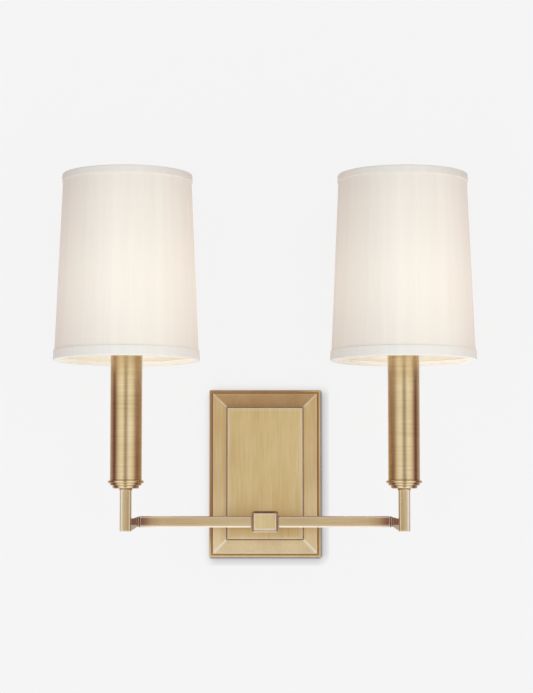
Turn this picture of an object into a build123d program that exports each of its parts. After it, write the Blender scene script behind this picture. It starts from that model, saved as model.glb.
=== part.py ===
from build123d import *
import os
from math import cos, radians, sin

os.makedirs("parts", exist_ok=True)

# Double arm wall sconce. Millimetres. The origin is on the wall, at the centre of the wall plate.
# +X is to the right as the viewer faces the wall, +Y goes into the wall and +Z is up.

# Wall plate: a hollow shell with a ledge, a mitred bevel frame and a raised centre panel.
plate_width = 114.3
plate_height = 171.45
plate_edge_depth = 12.0
plate_sheet = 1.6
plate_ledge = 3.5
plate_step = 2.0
bevel_width = 15.0
bevel_rise = 6.0
panel_step = 1.2
panel_groove = 0.7
plate_rounding = 0.45

# Steel strap behind the plate, with its ears, screws and earth connection.
strap_sheet = 1.6
strap_height = 25.0
strap_ear_play = 0.4
strap_fit = 0.25
strap_hole = 10.4
box_spacing_small = 69.85
box_spacing_large = 88.9
slot_width = 4.5
grub_diameter = 4.0
grub_length = 6.0
grub_key = 2.0
grub_key_depth = 2.2
ground_diameter = 4.8
ground_head_diameter = 8.6
ground_head_height = 2.4
ground_slot = 1.2
ground_from_ear = 33.3
ground_wire_diameter = 1.6
ground_wire_reach = 18.0
ground_wire_start = 4.0
ground_wire_lift = 4.0
ground_wire_rise = 14.0
ground_wire_turns = (5.0, 8.0)

# Stub between the plate and the hub block, with its threaded tube and nut.
arm_above_plate_foot = 35.725
lamp_reach = 88.9
stub_square = 12.7
stub_edge = 0.8
stub_thread = 10.0
stub_thread_bore = 7.4
stub_thread_engaged = 12.0
stub_nut_flats = 17.0
stub_nut_height = 4.0
thread_past_nut = 2.6
thread_play = 0.05
plate_hole_play = 0.2

# Hub block and arms.
hub_width = 26.0
hub_height = 21.0
hub_depth = 18.0
hub_chamfer = 2.3
hub_corner = 1.2
hub_bore = 9.4
wire_bore = 8.4
lamp_spacing = 276.2
arm_square = 11.1
arm_wall = 1.2
arm_edge = 1.0
arm_seat = 4.0
seat_fit = 0.05

# Grooved collar, elbow link and upright stem at the end of each arm.
collar_length = 3.0
collar_bead = 1.2
collar_bead_square = 10.7
collar_neck = 9.3
link_length = 6.1
link_width = 9.4
link_bore = 7.0
link_top_fall = 1.7
stem_square = 11.0
stem_edge = 1.0
stem_foot_drop = 9.5
stem_height = 42.3
stem_bore = 7.4
stem_floor = 2.4
stem_ring_diameter = 12.8
stem_ring_height = 1.5

# Stepped cup, its threaded tube and nut, and the candle sleeve.
cup_flange_diameter = 36.0
cup_flange = 2.5
cup_middle_diameter = 31.5
cup_middle = 2.5
cup_bottom_diameter = 26.5
cup_bottom = 3.0
cup_bottom_rounding = 1.4
cup_boss_height = 1.5
cup_boss_play = 0.2
cup_thread = 8.0
cup_thread_bore = 5.4
cup_thread_engaged = 9.0
cup_nut_flats = 13.0
cup_nut_height = 4.0
cup_thread_past_nut = 1.0
sleeve_diameter = 31.75
sleeve_wall = 0.8
sleeve_length = 127.0

# Socket, its bracket and the ring nut on its barrel.
bracket_sheet = 1.0
bracket_width = 10.0
bracket_offset = 10.0
bracket_toe = 6.5
socket_diameter = 29.4
socket_flange_diameter = 34.0
socket_flange = 2.0
socket_below = 34.0
socket_cavity = 27.0
socket_wall = 1.0
socket_screw_diameter = 3.0
socket_screw_length = 6.0
socket_screw_head = 5.6
socket_screw_head_height = 1.8
shell_wall = 0.35
shell_height = 22.0
shell_floor_radius = 8.0
contact_height = 4.0
contact_sheet = 0.6
contact_width = 6.0
contact_gap = 1.5
ring_diameter = 39.0
ring_height = 8.0
ring_play = 0.1
ring_flutes = 20
ring_flute_radius = 1.0
ring_edge = 0.8
barrel_past_ring = 1.0

# Shade: a taper of cloth on a plastic sheet, with wire rings and folded tape on its rims.
fitter_sheet = 1.2
fitter_ring_diameter = 44.0
fitter_play = 0.3
fitter_drop = 9.8
shade_height = 187.0
shade_bottom_diameter = 144.4
shade_top_diameter = 128.2
cloth_thickness = 0.6
liner_thickness = 0.5
tape_thickness = 0.9
glue_gap = 0.05
bottom_tape_height = 10.5
top_tape_height = 7.5
tape_inner_turn = 4.4
ring_wire = 2.4
spider_wire = 2.6
spider_arms = 3
notch_play = 0.25

# Bulb: a screw base, a tip contact, a glass and a filament.
bulb_length = 108.0
bulb_diameter = 60.0
bulb_thread_diameter = 26.0
bulb_thread_depth = 0.55
bulb_thread_pitch = 3.63
bulb_threads = 4
bulb_tip_diameter = 9.2
bulb_tip_height = 1.5
bulb_base_height = 26.0
bulb_base_wall = 0.9
bulb_cone_height = 3.0
bulb_cone_step = 1.0
bulb_cone_inset = 2.5
bulb_skirt_rise = 0.6
bulb_base_floor = 2.0
bulb_tip_edge = 1.2
bulb_tip_bevel = 0.6
glass_thickness = 0.8
glass_in_base = 5.0
mount_foot_z = 5.0
mount_foot_diameter = 9.0
mount_foot_height = 12.0
mount_height = 42.0
mount_top_diameter = 4.8
support_offset = 1.5
support_depth = 3.0
filament_half_span = 12.0
filament_height = 70.0
filament_rise = 3.0
filament_wire = 0.8
filament_coil = 1.28

# Insulated leads, in a grid about the middle of the stub and the arms, and their connectors.
lead_diameter = 2.0
lead_offset = 1.3
lead_turn = 4.0
lead_plate_turn = 3.5
lead_terminal_offset = 6.5
lead_terminal_depth = 4.0
lead_hole_play = 0.2
lead_in_nut_straight = 8.0
lead_below_strap = 12.0
lead_nut_turn = 9.0
lead_spread_height = 22.0
lead_spread_turn = 30.0
wire_nut_place = 16.0
wire_nut_diameter = 12.0
wire_nut_tip_diameter = 7.0
wire_nut_length = 21.0
wire_nut_skirt = 7.35
wire_nut_above_strap = 9.5

# Places that follow from the sizes above.
plate_front = plate_edge_depth + plate_step + bevel_rise + panel_step
panel_inside = plate_front - plate_sheet
strap_ear_length = plate_edge_depth - plate_sheet - strap_ear_play
grub_depth = (strap_sheet + strap_ear_length) / 2
ear_face = plate_width / 2 - plate_sheet - strap_fit
ground_place = ear_face - ground_from_ear
ground_nut_place = ground_place + ground_wire_reach
ground_wire_depth = strap_sheet + glue_gap + ground_wire_diameter / 2
lamp_x = lamp_spacing / 2
arm_z = arm_above_plate_foot - plate_height / 2
stub_back = panel_inside - stub_nut_height - thread_past_nut
hub_back = lamp_reach - hub_depth / 2
arm_start = hub_width / 2 - arm_seat
link_end = lamp_x - stem_square / 2
collar_end = link_end - link_length
arm_end = collar_end - collar_length
stem_foot_z = arm_z - stem_foot_drop
cup_z = stem_foot_z + stem_height
flange_top_z = cup_z + cup_bottom + cup_middle + cup_flange
boss_top_z = flange_top_z + cup_boss_height
sleeve_bore = sleeve_diameter - 2 * sleeve_wall
sleeve_top_z = flange_top_z + sleeve_length
fitter_z = sleeve_top_z + socket_flange
ring_z = fitter_z + fitter_sheet
barrel_top_z = ring_z + ring_height + barrel_past_ring
socket_z = sleeve_top_z - socket_below
socket_floor_z = barrel_top_z - socket_cavity
bulb_z = socket_floor_z + contact_height
shade_z = fitter_z - fitter_drop
wall_stack = cloth_thickness + glue_gap + liner_thickness
nut_mouth_z = strap_height / 2 + wire_nut_above_strap


def save(name, *solids):
    """Write one node: a single solid, or a group of separate ones."""
    shape = solids[0] if len(solids) == 1 else Compound(children=list(solids))
    export_step(shape, "parts/" + name + ".step")


def front_plane(depth, x=0.0, z=0.0):
    """A plane parallel to the wall, depth in front of it, that faces the viewer."""
    return Plane(origin=(x, -depth, z), x_dir=(1, 0, 0), z_dir=(0, -1, 0))


def side_plane(x, y=0.0, z=0.0):
    """A plane across the arms, with its local x along +Y and its local y along +Z."""
    return Plane(origin=(x, y, z), x_dir=(0, 1, 0), z_dir=(1, 0, 0))


def turned(*outline):
    """A solid turned about the Z axis from a closed outline of (radius, height) points."""
    rim = Polyline(*[(radius, 0, height) for radius, height in outline], close=True)
    return revolve(make_face(rim.edges()), Axis.Z, 360)


def between(low_x, high_x, width, height, y, z):
    """A box from one x to another, centred on y and z."""
    return Pos((low_x + high_x) / 2, y, z) * Box(abs(high_x - low_x), width, height)


def edges_along(solid, axis):
    return solid.edges().filter_by(axis)


def hex_nut(flats, height, hole):
    """A six-sided nut that stands on the local XY plane."""
    nut = extrude(RegularPolygon(flats / 2, 6, major_radius=False), amount=height)
    return nut - Pos(0, 0, height / 2) * Cylinder(hole / 2, height)


def tube(diameter, bore, length):
    """A round tube that stands on the local XY plane."""
    ring = Circle(diameter / 2) - Circle(bore / 2)
    return extrude(ring, amount=length)


# Wall plate, strap and their fasteners.


def plate_stack(inset, sink):
    """The plate's stepped block, with every level moved in by inset and back by sink."""
    edge = plate_edge_depth - sink
    step = edge + plate_step
    bevel = step + bevel_rise
    panel = bevel + panel_step

    def outline(depth, margin):
        margin += inset
        rectangle = Rectangle(plate_width - 2 * margin, plate_height - 2 * margin)
        return front_plane(depth) * rectangle

    inner = plate_ledge + bevel_width
    block = extrude(outline(0, 0), amount=edge)
    block += extrude(outline(edge, plate_ledge), amount=plate_step)
    block += loft([outline(step, plate_ledge), outline(bevel, inner)], ruled=True)
    block += extrude(outline(bevel, inner), amount=panel - bevel)
    return block


def level_rim(block, depth, margin):
    """The four edges that lie at a depth and at a margin from the plate's outline."""
    half_width = plate_width / 2 - margin
    half_height = plate_height / 2 - margin
    rim = []
    for edge in block.edges():
        middle = edge.center()
        on_side = abs(abs(middle.X) - half_width) < 1e-4
        on_end = abs(abs(middle.Z) - half_height) < 1e-4
        if abs(middle.Y + depth) < 1e-4 and (on_side or on_end):
            rim.append(edge)
    return rim


def backplate():
    block = plate_stack(0, 0)
    inner = plate_ledge + bevel_width
    levels = [
        (plate_edge_depth, 0),
        (plate_edge_depth + plate_step, plate_ledge),
        (plate_front, inner),
    ]
    for depth, margin in levels:
        block = fillet(level_rim(block, depth, margin), plate_rounding)
    groove_floor = plate_front - panel_step - panel_groove
    panel = Rectangle(plate_width - 2 * inner, plate_height - 2 * inner)
    outer = inner - panel_groove
    frame = Rectangle(plate_width - 2 * outer, plate_height - 2 * outer)
    block -= extrude(front_plane(groove_floor) * (frame - panel), amount=2 * panel_groove)
    block -= plate_stack(plate_sheet, plate_sheet)
    nipple_hole = Cylinder(stub_thread / 2 + plate_hole_play, 4 * plate_sheet)
    block -= front_plane(plate_front, z=arm_z) * nipple_hole
    for side in (-1, 1):
        hole = Cylinder(grub_diameter / 2 + thread_play, 4 * plate_sheet)
        block -= side_plane(side * plate_width / 2, -grub_depth) * hole
    return block


def mounting_strap():
    bar = Pos(0, -strap_sheet / 2, 0) * Box(2 * ear_face, strap_sheet, strap_height)
    for side in (-1, 1):
        ear = Box(strap_sheet, strap_ear_length, strap_height)
        bar += Pos(side * (ear_face - strap_sheet / 2), -strap_ear_length / 2, 0) * ear
    outer_bends = [
        edge
        for edge in edges_along(bar, Axis.Z)
        if abs(edge.center().Y) < 1e-6 and abs(abs(edge.center().X) - ear_face) < 1e-6
    ]
    bar = fillet(outer_bends, strap_sheet * 0.8)
    slot_centre = (box_spacing_small + box_spacing_large) / 4
    slot_length = (box_spacing_large - box_spacing_small) / 2 + slot_width
    for side in (-1, 1):
        slot = front_plane(0, side * slot_centre) * SlotOverall(slot_length, slot_width)
        bar -= extrude(slot, amount=2 * strap_sheet)
        ear_hole = Cylinder(grub_diameter / 2 + thread_play, 4 * strap_sheet)
        bar -= side_plane(side * ear_face, -grub_depth) * ear_hole
    bar -= front_plane(strap_sheet / 2) * Cylinder(strap_hole / 2, 2 * strap_sheet)
    ground_hole = Cylinder(ground_diameter / 2 + thread_play, 2 * strap_sheet)
    bar -= front_plane(strap_sheet / 2, ground_place) * ground_hole
    return bar


def grub_screw(side):
    """A socket grub screw along X, flush with the plate's side."""
    body = Pos(0, 0, grub_length / 2) * Cylinder(grub_diameter / 2, grub_length)
    key = RegularPolygon(grub_key / 2, 6, major_radius=False)
    body -= extrude(Pos(0, 0, grub_length - grub_key_depth) * key, amount=grub_key_depth)
    inner_end = Plane(
        origin=(side * (plate_width / 2 - grub_length), -grub_depth, 0),
        x_dir=(0, 1, 0),
        z_dir=(side, 0, 0),
    )
    return inner_end * body


def ground_screw():
    shank_length = ground_wire_depth + ground_wire_diameter / 2 + glue_gap
    shank = extrude(Circle(ground_diameter / 2), amount=shank_length)
    head_face = Pos(0, 0, shank_length) * Circle(ground_head_diameter / 2)
    head = extrude(head_face, amount=ground_head_height)
    slot_cut = Box(2 * ground_head_diameter, ground_slot, ground_slot)
    head -= Pos(0, 0, shank_length + ground_head_height) * slot_cut
    return front_plane(0, ground_place) * (shank + head)


def ground_wire():
    near = -ground_wire_depth
    far = near - ground_wire_lift
    start = (ground_place + ground_diameter / 2, near, 0)
    bend = (ground_nut_place - ground_wire_start, near, 0)
    middle = (ground_nut_place, far, ground_wire_rise)
    end = (ground_nut_place, far, nut_mouth_z)
    path = FilletPolyline(start, bend, middle, end, radius=list(ground_wire_turns))
    section = Plane(origin=start, z_dir=(1, 0, 0)) * Circle(ground_wire_diameter / 2)
    return sweep(section, path=path)


def wire_nut(x, depth):
    """A twist-on connector that stands with its mouth down."""
    mouth = wire_nut_diameter / 2
    tip = wire_nut_tip_diameter / 2
    top = wire_nut_length
    body = turned((0, 0), (mouth, 0), (mouth, wire_nut_skirt), (tip, top), (0, top))
    return Pos(x, -depth, nut_mouth_z) * body


# Stub, hub block and arms.


def stub_arm():
    length = hub_back - plate_front
    bar = extrude(Rectangle(stub_square, stub_square), amount=length)
    bar = chamfer(edges_along(bar, Axis.Z), stub_edge)
    bar -= Pos(0, 0, length / 2) * Cylinder(wire_bore / 2, 2 * length)
    seat = Cylinder(stub_thread / 2 + thread_play, stub_thread_engaged)
    bar -= Pos(0, 0, stub_thread_engaged / 2) * seat
    return front_plane(plate_front, z=arm_z) * bar


def stub_nipple():
    length = plate_front + stub_thread_engaged - stub_back
    return front_plane(stub_back, z=arm_z) * tube(stub_thread, stub_thread_bore, length)


def stub_nut():
    nut = hex_nut(stub_nut_flats, stub_nut_height, stub_thread + 2 * thread_play)
    return front_plane(panel_inside - stub_nut_height, z=arm_z) * nut


def hub_outline(depth, inset):
    """The block's outline with cut corners, at a depth in front of its middle."""
    outline = Rectangle(hub_width - 2 * inset, hub_height - 2 * inset)
    outline = chamfer(outline.vertices(), hub_corner)
    return front_plane(depth) * outline


def hub_block():
    full = hub_depth / 2 - hub_chamfer
    end = hub_depth / 2
    block = extrude(hub_outline(-full, 0), amount=2 * full)
    block += loft([hub_outline(full, 0), hub_outline(end, hub_chamfer)], ruled=True)
    block += loft([hub_outline(-end, hub_chamfer), hub_outline(-full, 0)], ruled=True)
    block -= Rot(0, 90, 0) * Cylinder(hub_bore / 2, 2 * hub_width)
    # The bore from the back opens into the cross bore just past its middle.
    past_middle = hub_bore / 8
    back_bore = Rot(90, 0, 0) * Cylinder(wire_bore / 2, hub_depth)
    block -= Pos(0, hub_depth / 2 - past_middle, 0) * back_bore
    seat = arm_square + 2 * seat_fit
    for side in (-1, 1):
        block -= between(side * arm_start, side * hub_width, seat, seat, 0, 0)
    return Pos(0, -lamp_reach, arm_z) * block


def square_bar(low_x, high_x, square, edge):
    """A square bar along X with its long edges cut off."""
    bar = between(low_x, high_x, square, square, 0, 0)
    return chamfer(edges_along(bar, Axis.X), edge)


def arm(side):
    bar = square_bar(side * arm_start, side * arm_end, arm_square, arm_edge)
    bore = arm_square - 2 * arm_wall
    bar -= between(side * arm_start, side * arm_end, bore, bore, 0, 0)
    return Pos(0, -lamp_reach, arm_z) * bar


def joint_collar(side):
    """A collar with a bead between two grooves."""
    middle = (arm_end + collar_end) / 2
    neck = square_bar(side * arm_end, side * collar_end, collar_neck, arm_edge)
    low, high = middle - collar_bead / 2, middle + collar_bead / 2
    bead = square_bar(side * low, side * high, collar_bead_square, arm_edge)
    collar = neck + bead
    collar -= Rot(0, 90, 0) * Cylinder(link_bore / 2, 4 * lamp_spacing)
    return Pos(0, -lamp_reach, arm_z) * collar


def elbow_link(side):
    """The link that drops from the collar to the stem's foot."""
    top = collar_neck / 2
    foot = stem_foot_drop - stem_edge
    outline = [
        (collar_end, top),
        (link_end, top - link_top_fall),
        (link_end, -foot),
        (link_end - link_length * 0.25, -foot + link_length * 0.1),
        (collar_end, -top),
    ]
    rim = Polyline(*[(side * x, 0, z) for x, z in outline], close=True)
    link = extrude(make_face(rim.edges()), amount=link_width / 2, both=True)
    link -= Rot(0, 90, 0) * Cylinder(link_bore / 2, 4 * lamp_spacing)
    return Pos(0, -lamp_reach, arm_z) * link


def stem(side):
    """The upright, hollow from its top to the floor in its foot."""
    bar = Pos(0, 0, stem_height / 2) * Box(stem_square, stem_square, stem_height)
    bar = chamfer(edges_along(bar, Axis.Z), stem_edge)
    bottom = bar.faces().sort_by(Axis.Z)[0]
    bar = fillet(bottom.edges(), stem_edge / 2)
    ring_z = stem_height - stem_ring_height / 2
    bar += Pos(0, 0, ring_z) * Cylinder(stem_ring_diameter / 2, stem_ring_height)
    bore_length = stem_height - stem_floor
    bar -= Pos(0, 0, stem_floor + bore_length / 2) * Cylinder(stem_bore / 2, bore_length)
    seat = Cylinder(cup_thread / 2 + thread_play, cup_thread_engaged)
    bar -= Pos(0, 0, stem_height - cup_thread_engaged / 2) * seat
    inlet = Rot(0, 90, 0) * Cylinder(link_bore / 2, stem_square)
    bar -= Pos(-side * stem_square / 2, 0, stem_foot_drop) * inlet
    return Pos(side * lamp_x, -lamp_reach, stem_foot_z) * bar


# Cup, sleeve and socket. These are built about the lamp's own axis.


def cup():
    low, middle, top = cup_bottom_diameter / 2, cup_middle_diameter / 2, cup_flange_diameter / 2
    middle_z = cup_z + cup_bottom
    flange_z = middle_z + cup_middle
    boss = sleeve_bore / 2 - cup_boss_play
    hole = cup_thread / 2 + thread_play
    body = turned(
        (hole, cup_z),
        (low, cup_z),
        (low, middle_z),
        (middle, middle_z),
        (middle, flange_z),
        (top, flange_z),
        (top, flange_top_z),
        (boss, flange_top_z),
        (boss, boss_top_z),
        (hole, boss_top_z),
    )

    def circles(radius, height):
        return [
            edge
            for edge in body.edges().filter_by(GeomType.CIRCLE)
            if abs(edge.radius - radius) < 1e-4 and abs(edge.center().Z - height) < 1e-4
        ]

    body = fillet(circles(low, cup_z), cup_bottom_rounding)
    body = fillet(circles(middle, middle_z), min(cup_bottom_rounding, cup_middle * 0.4))
    body = fillet(circles(top, flange_z) + circles(top, flange_top_z), cup_flange * 0.3)
    return body


def cup_nipple():
    bottom = cup_z - cup_thread_engaged
    top = boss_top_z + bracket_sheet + cup_nut_height + cup_thread_past_nut
    return Pos(0, 0, bottom) * tube(cup_thread, cup_thread_bore, top - bottom)


def nipple_nut():
    nut = hex_nut(cup_nut_flats, cup_nut_height, cup_thread + 2 * thread_play)
    return Pos(0, 0, boss_top_z + bracket_sheet) * nut


def candle_sleeve():
    return Pos(0, 0, flange_top_z) * tube(sleeve_diameter, sleeve_bore, sleeve_length)


def socket_bracket():
    """A strip with a foot on the cup, a riser behind the wires and a seat for the socket."""
    low, high = boss_top_z, socket_z
    back = bracket_offset + bracket_sheet
    foot = Box(bracket_width, back + bracket_toe, bracket_sheet)
    foot_y = (back - bracket_toe) / 2
    riser = Box(bracket_width, bracket_sheet, high - low)
    strip = Pos(0, foot_y, low + bracket_sheet / 2) * foot
    strip += Pos(0, foot_y, high - bracket_sheet / 2) * foot
    strip += Pos(0, bracket_offset + bracket_sheet / 2, (low + high) / 2) * riser
    strip -= Pos(0, 0, low) * Cylinder(cup_thread / 2 + thread_play, 4 * bracket_sheet)
    strip -= Pos(0, 0, high) * Cylinder(socket_screw_diameter / 2 + thread_play, 4 * bracket_sheet)
    return strip


def socket_screw():
    """The screw that goes up through the bracket into the socket's base."""
    bottom = socket_z - bracket_sheet
    shank_length = bracket_sheet + socket_screw_length
    shank = Pos(0, 0, bottom) * extrude(Circle(socket_screw_diameter / 2), amount=shank_length)
    head = extrude(Circle(socket_screw_head / 2), amount=socket_screw_head_height)
    return shank + Pos(0, 0, bottom - socket_screw_head_height) * head


def socket_body():
    radius = socket_diameter / 2
    flange = socket_flange_diameter / 2
    cavity = radius - socket_wall
    body = turned(
        (0, socket_z),
        (radius, socket_z),
        (radius, sleeve_top_z),
        (flange, sleeve_top_z),
        (flange, fitter_z),
        (radius, fitter_z),
        (radius, barrel_top_z),
        (cavity, barrel_top_z),
        (cavity, socket_floor_z),
        (0, socket_floor_z),
    )
    screw_hole = Cylinder(socket_screw_diameter / 2 + thread_play, socket_screw_length)
    body -= Pos(0, 0, socket_z + socket_screw_length / 2) * screw_hole
    for side in (-1, 1):
        lead_hole = Cylinder(lead_diameter / 2 + lead_hole_play, lead_terminal_depth)
        place = Pos(side * lead_terminal_offset, 0, socket_z + lead_terminal_depth / 2)
        body -= place * lead_hole
    return body


def shell_radius():
    """The outer radius of the screw shell in the socket's cavity."""
    return socket_diameter / 2 - socket_wall - glue_gap


def socket_shell():
    outer = shell_radius()
    inner = outer - shell_wall
    return Pos(0, 0, socket_floor_z) * turned(
        (shell_floor_radius, 0),
        (outer, 0),
        (outer, shell_height),
        (inner, shell_height),
        (inner, shell_wall),
        (shell_floor_radius, shell_wall),
    )


def socket_contact():
    """A bent leaf from the cavity's floor up to the bulb's tip."""
    reach = shell_floor_radius - contact_gap
    foot = reach * 0.45
    low, high = contact_sheet, contact_height - contact_sheet
    outline = [
        (-reach, 0),
        (-foot, 0),
        (-foot * 0.3, high),
        (foot * 1.4, high),
        (foot * 1.4, contact_height),
        (-foot * 0.4, contact_height),
        (-foot * 1.1, low),
        (-reach, low),
    ]
    rim = Polyline(*[(0, y, socket_floor_z + z) for y, z in outline], close=True)
    return extrude(make_face(rim.edges()), amount=contact_width / 2, both=True)


def ring_nut():
    bore = socket_diameter + 2 * ring_play
    ring = tube(ring_diameter, bore, ring_height)
    ring = chamfer(ring.edges().filter_by(GeomType.CIRCLE).sort_by(SortBy.RADIUS)[-2:], ring_edge)
    flute = Pos(ring_diameter / 2, 0, ring_height / 2) * Cylinder(ring_flute_radius, 2 * ring_height)
    ring -= [Rot(0, 0, turn * 360 / ring_flutes) * flute for turn in range(ring_flutes)]
    return Pos(0, 0, ring_z) * ring


# Shade, built about the lamp's axis with heights above its bottom rim.


def shade_radius(height):
    """The radius of the cloth's outer face at a height above the bottom rim."""
    bottom, top = shade_bottom_diameter / 2, shade_top_diameter / 2
    return bottom + (top - bottom) * height / shade_height


def shade_wall(outer_inset, inner_inset):
    """One layer of the shade's wall, between two insets from the cloth's outer face."""
    low = tape_thickness + glue_gap
    high = shade_height - low
    return Pos(0, 0, shade_z) * turned(
        (shade_radius(low) - inner_inset, low),
        (shade_radius(low) - outer_inset, low),
        (shade_radius(high) - outer_inset, high),
        (shade_radius(high) - inner_inset, high),
    )


def ring_centre(height):
    """The radius of a wire ring that lies against the liner at a height."""
    return shade_radius(height) - wall_stack - glue_gap - ring_wire / 2


def rim_ring(height):
    return Pos(0, 0, shade_z + height) * Torus(ring_centre(height), ring_wire / 2)


def rim_tape(rim, outer_edge, inner_edge):
    """Tape folded over a rim, from the rim to its outer and inner edges."""
    toward = 1 if outer_edge > rim else -1
    lip = rim + toward * tape_thickness
    inside = wall_stack + ring_wire + 2 * glue_gap
    return Pos(0, 0, shade_z) * turned(
        (shade_radius(rim) + glue_gap + tape_thickness, rim),
        (shade_radius(outer_edge) + glue_gap + tape_thickness, outer_edge),
        (shade_radius(outer_edge) + glue_gap, outer_edge),
        (shade_radius(lip) + glue_gap, lip),
        (shade_radius(lip) - inside, lip),
        (shade_radius(inner_edge) - inside, inner_edge),
        (shade_radius(inner_edge) - inside - tape_thickness, inner_edge),
        (shade_radius(rim) - inside - tape_thickness, rim),
    )


def ring_height_in_rim():
    """How far a wire ring's middle is from the rim that holds it."""
    return tape_thickness + glue_gap + ring_wire / 2


def spider_wires(wire_radius):
    """The wires from the fitter's ring out to the bottom wire ring, the first towards the wall."""
    start_radius = fitter_ring_diameter / 2 - spider_wire / 2
    start_z = fitter_z + fitter_sheet / 2
    end_z = shade_z + ring_height_in_rim()
    end_radius = ring_centre(ring_height_in_rim())
    run = Vector(end_radius - start_radius, 0, end_z - start_z)
    wires = []
    for index in range(spider_arms):
        wire = Plane(origin=(start_radius, 0, start_z), z_dir=run) * extrude(
            Circle(wire_radius), amount=run.length
        )
        wires.append(Rot(0, 0, 90 + index * 360 / spider_arms) * wire)
    return wires


def shade_fitter():
    bore = socket_diameter + 2 * fitter_play
    fitter = Pos(0, 0, fitter_z) * tube(fitter_ring_diameter, bore, fitter_sheet)
    for wire in spider_wires(spider_wire / 2):
        fitter += wire
    return fitter + rim_ring(ring_height_in_rim())


def shade_bottom_trim():
    tape = rim_tape(0, bottom_tape_height, tape_inner_turn)
    for wire in spider_wires(spider_wire / 2 + notch_play):
        tape -= wire
    return tape


def shade_top_trim():
    return rim_tape(shade_height, shade_height - top_tape_height, shade_height - tape_inner_turn)


# Bulb, with heights above its tip.


def glass_outline(inset):
    """The glass's profile, from its neck to its top, moved in by inset."""
    neck = bulb_thread_diameter / 2 - bulb_base_wall - glue_gap - inset
    full = bulb_diameter / 2 - inset
    bottom = bulb_base_height - glass_in_base
    centre = bulb_length - bulb_diameter / 2
    rise = centre - bulb_base_height

    def point(share, height):
        return (neck + (full - neck) * share, 0, bulb_base_height + rise * height)

    neck_line = Line((neck, 0, bottom), (neck, 0, bulb_base_height))
    curve = Spline(
        point(0, 0),
        point(0.07, 0.18),
        point(0.42, 0.45),
        point(0.86, 0.74),
        point(1, 1),
        tangents=[(0, 0, 1), (0, 0, 1)],
    )
    top_arc = ThreePointArc(
        (full, 0, centre),
        (full * cos(radians(45)), 0, centre + full * sin(radians(45))),
        (0, 0, centre + full),
    )
    return neck_line, curve, top_arc


def bulb_glass():
    outer = glass_outline(0)
    inner = glass_outline(glass_thickness)
    foot = Line(outer[0] @ 0, inner[0] @ 0)
    crown = Line(outer[2] @ 1, inner[2] @ 1)
    profile = make_face([*outer, *inner, foot, crown])
    return Pos(0, 0, bulb_z) * revolve(profile, Axis.Z, 360)


def bulb_base():
    """The screw cap: an insulating cone, rolled threads and a skirt round the glass."""
    crest = bulb_thread_diameter / 2
    root = crest - bulb_thread_depth
    inside = crest - bulb_base_wall
    cone = bulb_tip_height + bulb_cone_height
    first = cone + bulb_cone_step
    floor = cone + bulb_base_floor
    bore = inside - glass_thickness
    threads = []
    for index in range(bulb_threads):
        low = first + index * bulb_thread_pitch
        threads += [(root, low), (crest, low + bulb_thread_pitch / 2)]
    last = first + bulb_threads * bulb_thread_pitch
    seat = bulb_base_height - glass_in_base
    return Pos(0, 0, bulb_z) * turned(
        (0, bulb_tip_height),
        (bulb_tip_diameter / 2 + bulb_cone_step, bulb_tip_height),
        (root - bulb_cone_inset, cone),
        (root, cone),
        *threads,
        (root, last),
        (crest, last + bulb_skirt_rise),
        (crest, bulb_base_height),
        (inside, bulb_base_height),
        (inside, seat),
        (bore, seat),
        (bore, floor),
        (0, floor),
    )


def bulb_tip():
    radius = bulb_tip_diameter / 2
    return Pos(0, 0, bulb_z) * turned(
        (0, 0),
        (radius - bulb_tip_edge, 0),
        (radius, bulb_tip_height - bulb_tip_bevel),
        (radius, bulb_tip_height),
        (0, bulb_tip_height),
    )


def bulb_filament():
    """A mount with two support wires and the filament between their ends."""
    floor = bulb_tip_height + mount_foot_z
    top = floor + mount_height
    shoulder = floor + mount_foot_height
    foot = mount_foot_diameter / 2
    mount = turned(
        (0, floor), (foot, floor), (foot, shoulder), (mount_top_diameter / 2, top), (0, top)
    )
    ends = [Vector(side * filament_half_span, 0, filament_height) for side in (-1, 1)]
    for side, end in zip((-1, 1), ends):
        start = Vector(side * support_offset, 0, top - support_depth)
        run = end - start
        wire = extrude(Circle(filament_wire / 2), amount=run.length)
        mount += Plane(origin=start, z_dir=run) * wire
    crown = (0, 0, filament_height + filament_rise)
    coil_path = ThreePointArc(ends[0], crown, ends[1])
    section = Plane(origin=coil_path @ 0, z_dir=coil_path % 0) * Circle(filament_coil / 2)
    return Pos(0, 0, bulb_z) * (mount + sweep(section, path=coil_path))


# Leads, from the connectors behind the plate through the stub, arm and stem to each socket.


def lead_nest(up):
    """How much wider the lower lead turns, so that it goes round the upper one."""
    return lead_offset * (1 - up)


def lead_depth(up):
    """How far in front of the wall a lead runs behind the plate."""
    return stub_back - lead_plate_turn - lead_nest(up)


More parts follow.
